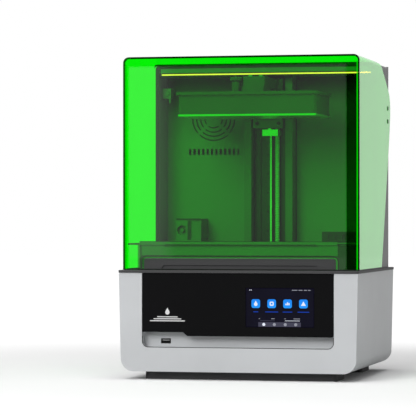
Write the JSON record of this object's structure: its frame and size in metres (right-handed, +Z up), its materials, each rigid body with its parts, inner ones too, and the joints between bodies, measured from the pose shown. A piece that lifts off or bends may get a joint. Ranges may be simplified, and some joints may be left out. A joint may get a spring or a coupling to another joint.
{
  "type": "resin printer",
  "caption": "Desktop resin 3D printer with a tinted hinged cover, front touchscreen, resin vat over a masking LCD, and a build plate on a lead-screw Z axis.",
  "frame": {"origin": "centre of the bounding box's base, on the surface that the feet stand on", "axes": "+X to the right of somebody facing the touchscreen, +Y to the back, +Z up"},
  "size_m": [0.394, 0.36, 0.521],
  "materials": {
    "light_grey_shell": "satin moulded plastic, light grey",
    "dark_grey_shell": "matte moulded plastic, dark grey",
    "black_gloss": "gloss black panel",
    "screen": "lit touchscreen behind glass",
    "rubber": "matte rubber and black technical plastic",
    "steel": "plain steel",
    "aluminium": "machined aluminium",
    "dark_aluminium": "dark anodised aluminium",
    "circuit_board": "solder mask",
    "opal_light": "opal diffuser, lit",
    "release_film": "clear film",
    "tinted_acrylic": "clear green tinted acrylic, polished"
  },
  "bodies": {
    "printer": {"front_foot": "rubber", "rear_foot": "rubber", "base_shell": "light_grey_shell", "recess_panel": "light_grey_shell", "front_panel": "black_gloss", "touchscreen": "screen", "usb_port": "steel", "power_inlet": "rubber", "switch_bezel": "rubber", "floor_plate": "steel", "mainboard": "circuit_board", "power_supply": "aluminium", "light_box": "aluminium", "led_array": "opal_light", "heat_sink": "aluminium", "z_motor": "dark_aluminium", "trim_plate": "dark_grey_shell", "lcd_frame": "dark_aluminium", "lcd_panel": "screen", "deck_riser": "dark_grey_shell", "deck_plate": "dark_grey_shell", "vat_post_left": "dark_grey_shell", "vat_post_right": "dark_grey_shell", "tower_shell": "dark_grey_shell", "tower_inner_wall": "dark_grey_shell", "tower_back": "dark_grey_shell", "column_cover": "dark_grey_shell", "light_bar": "opal_light", "z_column": "dark_aluminium", "linear_rail": "steel", "upper_bearing": "aluminium", "camera_module": "black_gloss", "heater_housing": "dark_grey_shell", "air_filter_box": "dark_grey_shell", "tower_fan_frame": "rubber", "hinge_damper_left": "steel", "hinge_damper_right": "steel"},
    "cover": {"cover_shell": "tinted_acrylic", "cover_front": "tinted_acrylic", "cover_lip": "tinted_acrylic", "hinge_disc_left": "steel", "hinge_disc_right": "steel"},
    "carriage": {"linear_block": "steel", "nut_bracket": "steel", "carriage_plate": "dark_aluminium", "plate_arm": "dark_aluminium", "plate_flange": "dark_aluminium", "build_plate": "dark_aluminium", "build_surface": "aluminium"},
    "plate_knob": {"lock_knob": "dark_aluminium"},
    "screw": {"lead_screw": "steel", "shaft_coupling": "aluminium"},
    "vat": {"vat_frame": "dark_aluminium", "film_frame": "steel", "release_film": "release_film"},
    "vat_screw_left": {"vat_knob_left": "steel"},
    "vat_screw_right": {"vat_knob_right": "steel"},
    "fan_rotor": {"tower_fan_rotor": "rubber"},
    "power_rocker": {"switch_rocker": "black_gloss"}
  },
  "joints": [
    {"name": "cover_hinge", "type": "hinge", "parent": "printer", "child": "cover", "pos_m": [0, 0.1266, 0.435], "axis": [-1, 0, 0], "range_deg": [0, 75]},
    {"name": "z_travel", "type": "slide", "parent": "printer", "child": "carriage", "axis": [0, 0, 1], "range_m": [-0.2425, 0]},
    {"name": "screw_spin", "type": "hinge", "parent": "printer", "child": "screw", "pos_m": [0.0136, 0.076, 0.3], "axis": [0, 0, 1], "continuous": true},
    {"name": "vat_lift", "type": "slide", "parent": "printer", "child": "vat", "axis": [0, 0, 1], "range_m": [0, 0.06]},
    {"name": "plate_knob_turn", "type": "hinge", "parent": "carriage", "child": "plate_knob", "pos_m": [-0.0315, -0.042, 0.48], "axis": [0, 0, 1], "continuous": true},
    {"name": "vat_screw_left_turn", "type": "hinge", "parent": "vat", "child": "vat_screw_left", "pos_m": [-0.15, -0.04, 0.212], "axis": [0, 0, 1], "continuous": true},
    {"name": "vat_screw_right_turn", "type": "hinge", "parent": "vat", "child": "vat_screw_right", "pos_m": [0.15, -0.04, 0.212], "axis": [0, 0, 1], "continuous": true},
    {"name": "fan_spin", "type": "hinge", "parent": "printer", "child": "fan_rotor", "pos_m": [-0.1022, 0.11, 0.43], "axis": [0, -1, 0], "continuous": true},
    {"name": "power_switch", "type": "hinge", "parent": "printer", "child": "power_rocker", "pos_m": [0.085, 0.1725, 0.046], "axis": [1, 0, 0], "range_deg": [0, 13.7]}
  ],
  "couplings": [
    {"joint": "screw_spin", "follows": "z_travel", "rad_per_m": 1570.8}
  ]
}
